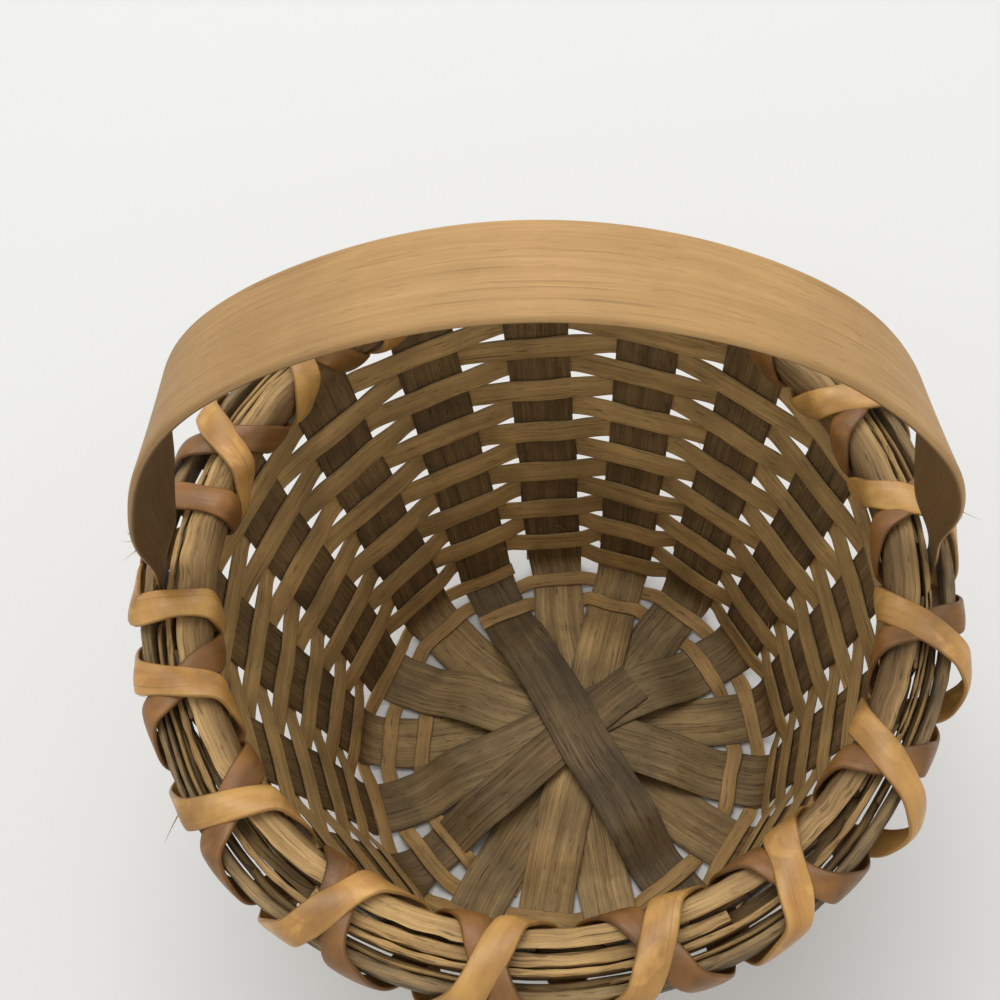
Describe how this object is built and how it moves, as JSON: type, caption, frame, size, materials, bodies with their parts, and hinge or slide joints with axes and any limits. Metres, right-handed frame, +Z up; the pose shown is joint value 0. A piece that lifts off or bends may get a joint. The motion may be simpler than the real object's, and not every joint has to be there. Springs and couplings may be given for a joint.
{
  "type": "berry basket",
  "caption": "Round splint basket with a lashed hoop rim and a fixed bent-wood handle, woven for picking and carrying berries.",
  "frame": {"origin": "middle of the underside, on the surface that the basket stands on", "axes": "+Z up through the mouth, X along the handle's span, Y across it with the pictured side towards -Y"},
  "size_m": [0.1756, 0.1782, 0.217],
  "materials": {
    "splint_wood": "dry split wood, matt, weathered grey-olive",
    "weaver_wood": "dry split wood, matt, olive-brown",
    "base_weaver_wood": "thin split strip, matt, orange-brown",
    "hoop_wood": "split hoop wood, matt, light tan",
    "outer_hoop_wood": "split hoop wood with a grey-brown skin, matt",
    "handle_wood": "shaved bent wood, satin, light tan",
    "light_bark": "flat bark strip, satin, orange-tan",
    "dark_bark": "flat bark strip, satin, red-brown"
  },
  "bodies": {
    "root": {"base_splint_a": "splint_wood", "base_splint_b": "splint_wood", "base_splint_c": "splint_wood", "base_splint_d": "splint_wood", "base_splint_e": "splint_wood", "base_splint_f": "splint_wood", "base_splint_g": "splint_wood", "base_splint_h": "splint_wood", "half_splint": "splint_wood", "base_weaver": "base_weaver_wood", "wall_weaver_01": "weaver_wood", "wall_weaver_02": "weaver_wood", "wall_weaver_03": "weaver_wood", "wall_weaver_04": "weaver_wood", "wall_weaver_05": "weaver_wood", "wall_weaver_06": "weaver_wood", "wall_weaver_07": "weaver_wood", "wall_weaver_08": "weaver_wood", "wall_weaver_09": "weaver_wood", "wall_weaver_10": "weaver_wood", "wall_weaver_11": "weaver_wood", "wall_weaver_12": "weaver_wood", "inner_hoop": "hoop_wood", "front_filler_stick": "hoop_wood", "middle_hoop": "hoop_wood", "outer_hoop": "outer_hoop_wood", "lashing_dark": "dark_bark", "lashing_light": "light_bark", "handle_band": "handle_wood"}
  },
  "joints": []
}
